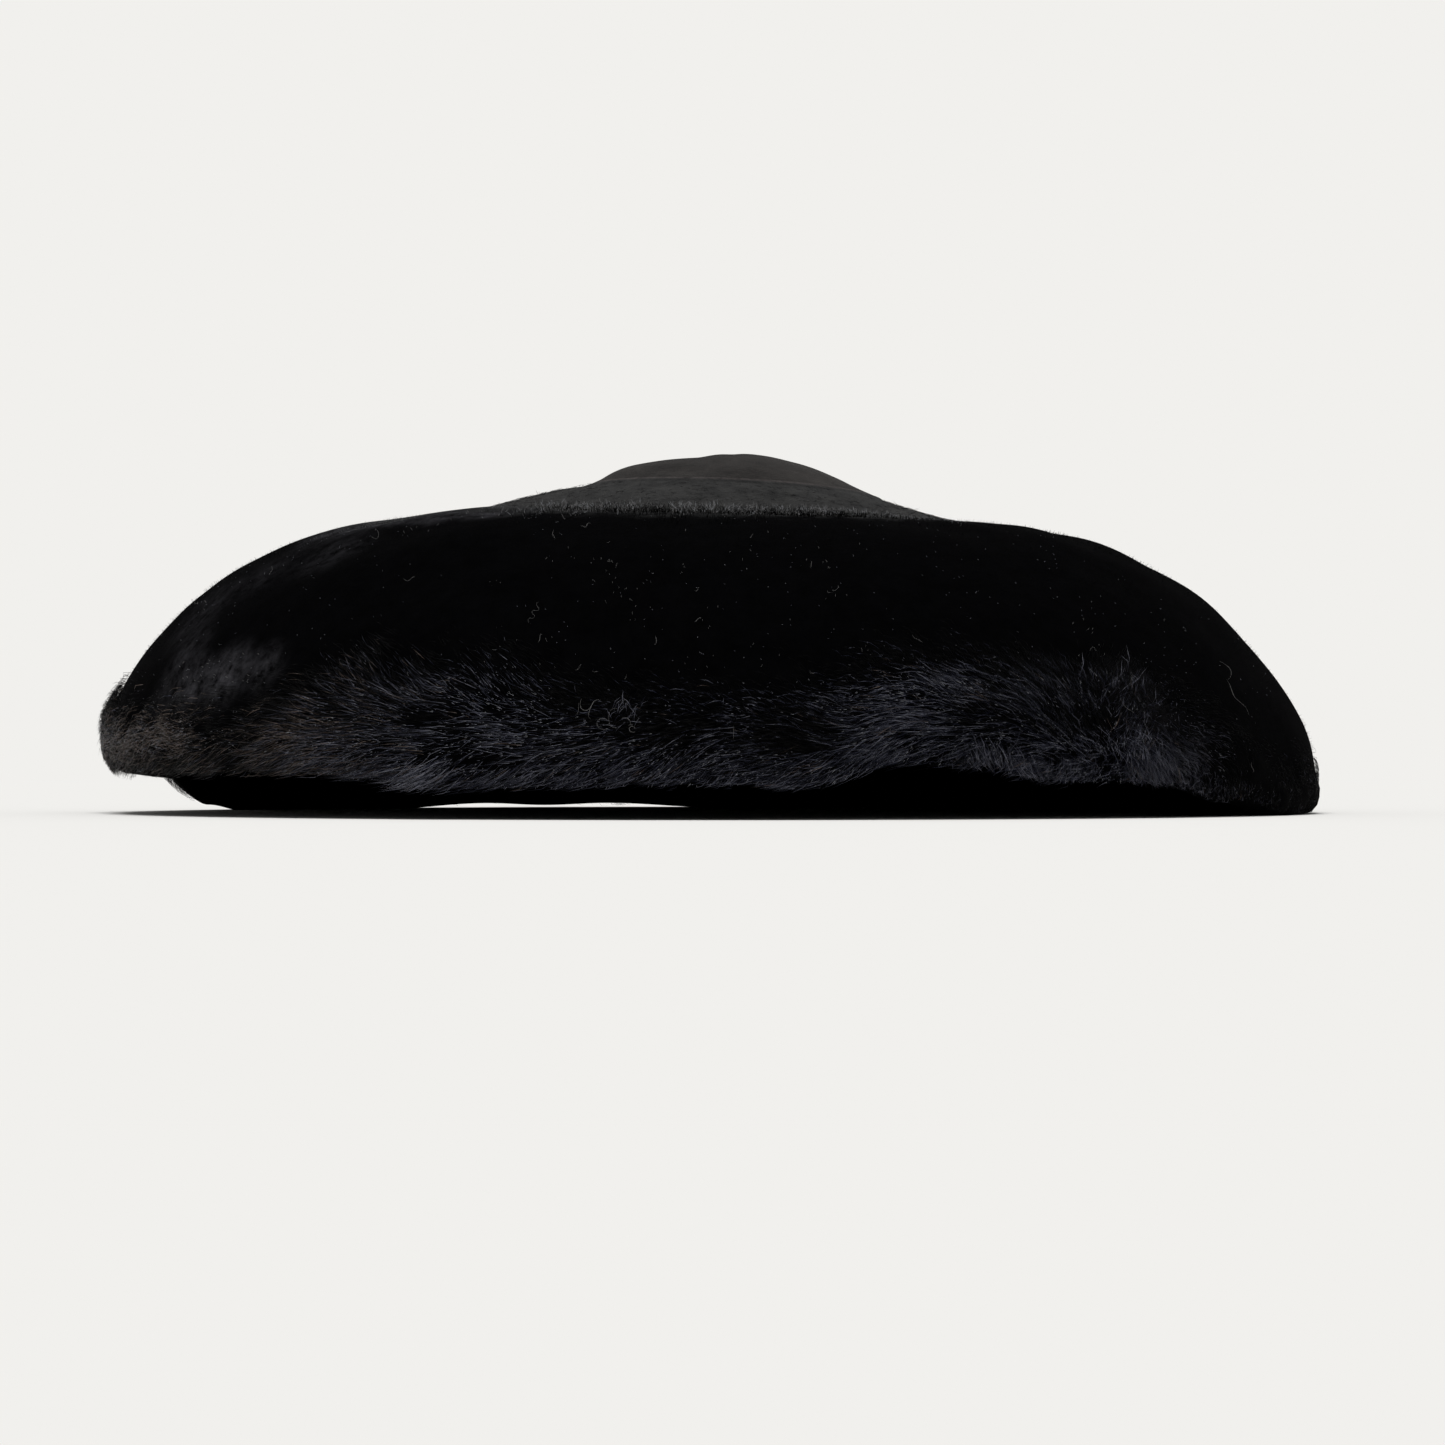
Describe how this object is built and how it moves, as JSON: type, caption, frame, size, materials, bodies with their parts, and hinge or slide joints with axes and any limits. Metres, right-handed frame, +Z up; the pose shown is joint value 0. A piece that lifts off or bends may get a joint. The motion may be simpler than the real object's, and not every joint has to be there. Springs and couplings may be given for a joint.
{
  "type": "saucer hat",
  "caption": "Wide saucer-shaped fur felt hat: low dome crown on a rolled brim with a wavy, inward-curling rim and combed long fur.",
  "frame": {"origin": "bottom centre of the hat's box, in the plane that the rim rests on", "axes": "+Z up through the crown, -Y to the front of the hat, +X to the right of someone who faces that front"},
  "size_m": [0.461, 0.46, 0.1371],
  "materials": {
    "crown_felt": "smooth short-nap felt, warm black",
    "fur_felt": "black fur felt, velvety on top, long glossy combed fur low down"
  },
  "bodies": {
    "root": {"crown": "crown_felt", "brim": "fur_felt"}
  },
  "joints": []
}
